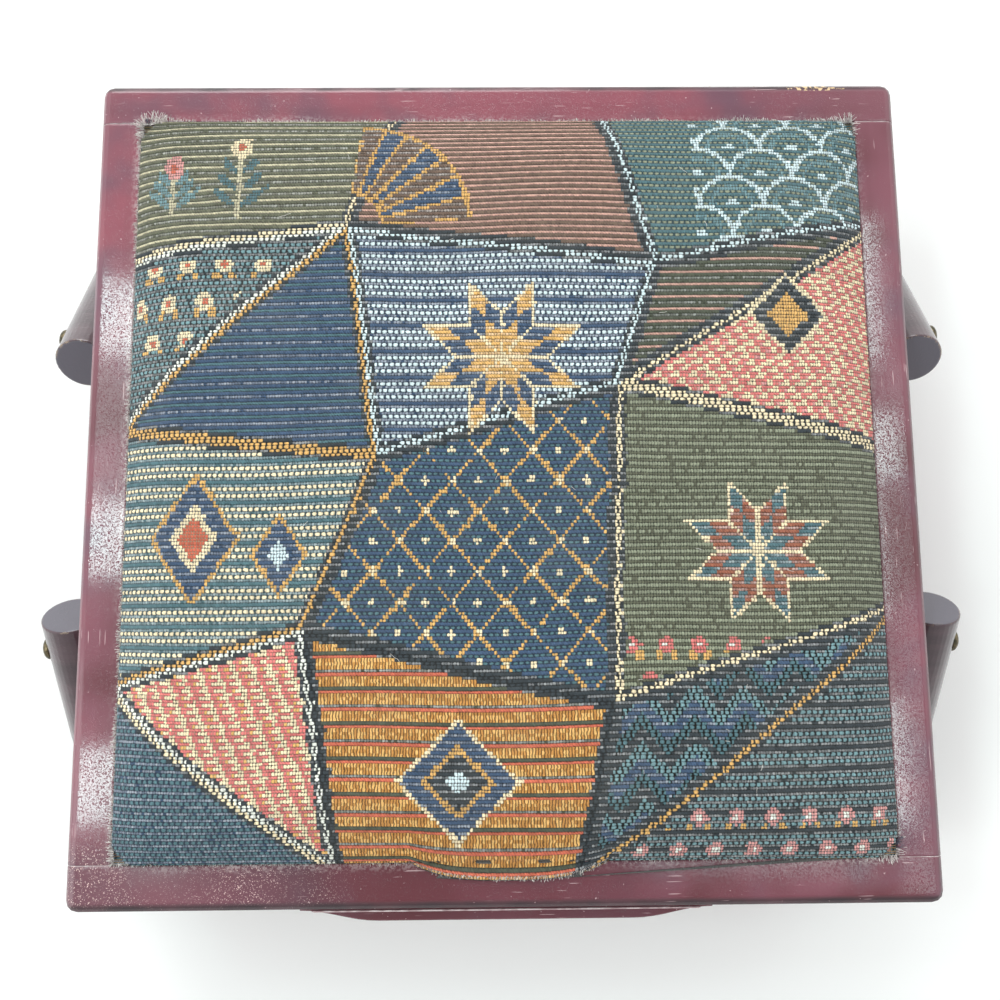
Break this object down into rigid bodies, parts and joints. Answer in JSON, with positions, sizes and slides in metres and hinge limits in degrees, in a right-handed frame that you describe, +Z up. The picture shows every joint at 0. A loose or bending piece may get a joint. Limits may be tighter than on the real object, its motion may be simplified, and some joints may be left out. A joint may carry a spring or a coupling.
{
  "type": "sewing box",
  "caption": "Square wooden sewing box with a hinged, padded tapestry lid, a sliding tray inside, and splayed dowel legs bolted to its sides.",
  "frame": {"origin": "on the floor under the middle of the box", "axes": "+X to the right, +Y from the lid's front, with its thumb lip, to the back, with its hinges, and +Z up"},
  "size_m": [0.3496, 0.3336, 0.1197],
  "materials": {
    "mahogany": "cherry-red stained wood under a satin-gloss lacquer",
    "dark_lacquer": "dark purple-brown lacquered dowel",
    "plywood": "sanded pale plywood",
    "pale_wood": "oiled pale wood",
    "wine_felt": "wine-red felt",
    "lining_cloth": "plain woven cotton on card",
    "foam": "open-cell padding",
    "tapestry": "ribbed tapestry weave in navy, teal, olive, terracotta and cream",
    "bronze": "dark antique-brass plating",
    "brass": "dull brass plating",
    "steel": "zinc-plated steel"
  },
  "bodies": {
    "box": {"front_wall": "mahogany", "back_wall": "mahogany", "left_wall": "mahogany", "right_wall": "mahogany", "bottom_panel": "plywood", "bottom_lining": "wine_felt", "tray_runner_left": "pale_wood", "tray_runner_right": "pale_wood", "leg_front_left": "dark_lacquer", "leg_back_left": "dark_lacquer", "leg_front_right": "dark_lacquer", "leg_back_right": "dark_lacquer", "leg_bolt_front_left_upper": "bronze", "leg_bolt_front_left_lower": "bronze", "leg_bolt_back_left_upper": "bronze", "leg_bolt_back_left_lower": "bronze", "leg_bolt_front_right_upper": "bronze", "leg_bolt_front_right_lower": "bronze", "leg_bolt_back_right_upper": "bronze", "leg_bolt_back_right_lower": "bronze", "leg_nut_front_left_upper": "steel", "leg_nut_front_left_lower": "steel", "leg_nut_back_left_upper": "steel", "leg_nut_back_left_lower": "steel", "leg_nut_front_right_upper": "steel", "leg_nut_front_right_lower": "steel", "leg_nut_back_right_upper": "steel", "leg_nut_back_right_lower": "steel", "hinge_left_box_leaf": "brass", "hinge_right_box_leaf": "brass", "hinge_left_pin": "brass", "hinge_right_pin": "brass", "hinge_left_box_screw_1": "brass", "hinge_left_box_screw_2": "brass", "hinge_right_box_screw_1": "brass", "hinge_right_box_screw_2": "brass"},
    "lid": {"lid_front_rail": "mahogany", "lid_back_rail": "mahogany", "lid_left_stile": "mahogany", "lid_right_stile": "mahogany", "thumb_lip": "mahogany", "lid_board": "plywood", "lid_foam": "foam", "tapestry_cover": "tapestry", "lid_lining": "lining_cloth", "hinge_left_lid_leaf": "brass", "hinge_right_lid_leaf": "brass", "hinge_left_lid_screw_1": "brass", "hinge_left_lid_screw_2": "brass", "hinge_right_lid_screw_1": "brass", "hinge_right_lid_screw_2": "brass"},
    "tray": {"tray_base": "plywood", "tray_front": "pale_wood", "tray_back": "pale_wood", "tray_end_left": "pale_wood", "tray_end_right": "pale_wood", "tray_divider_left": "pale_wood", "tray_divider_right": "pale_wood"}
  },
  "joints": [
    {"name": "lid_hinge", "type": "hinge", "parent": "box", "child": "lid", "pos_m": [0, 0.15285, 0.09185], "axis": [-1, 0, 0], "range_deg": [0, 100]},
    {"name": "tray_slide", "type": "slide", "parent": "box", "child": "tray", "axis": [0, 1, 0], "range_m": [0, 0.15]}
  ]
}
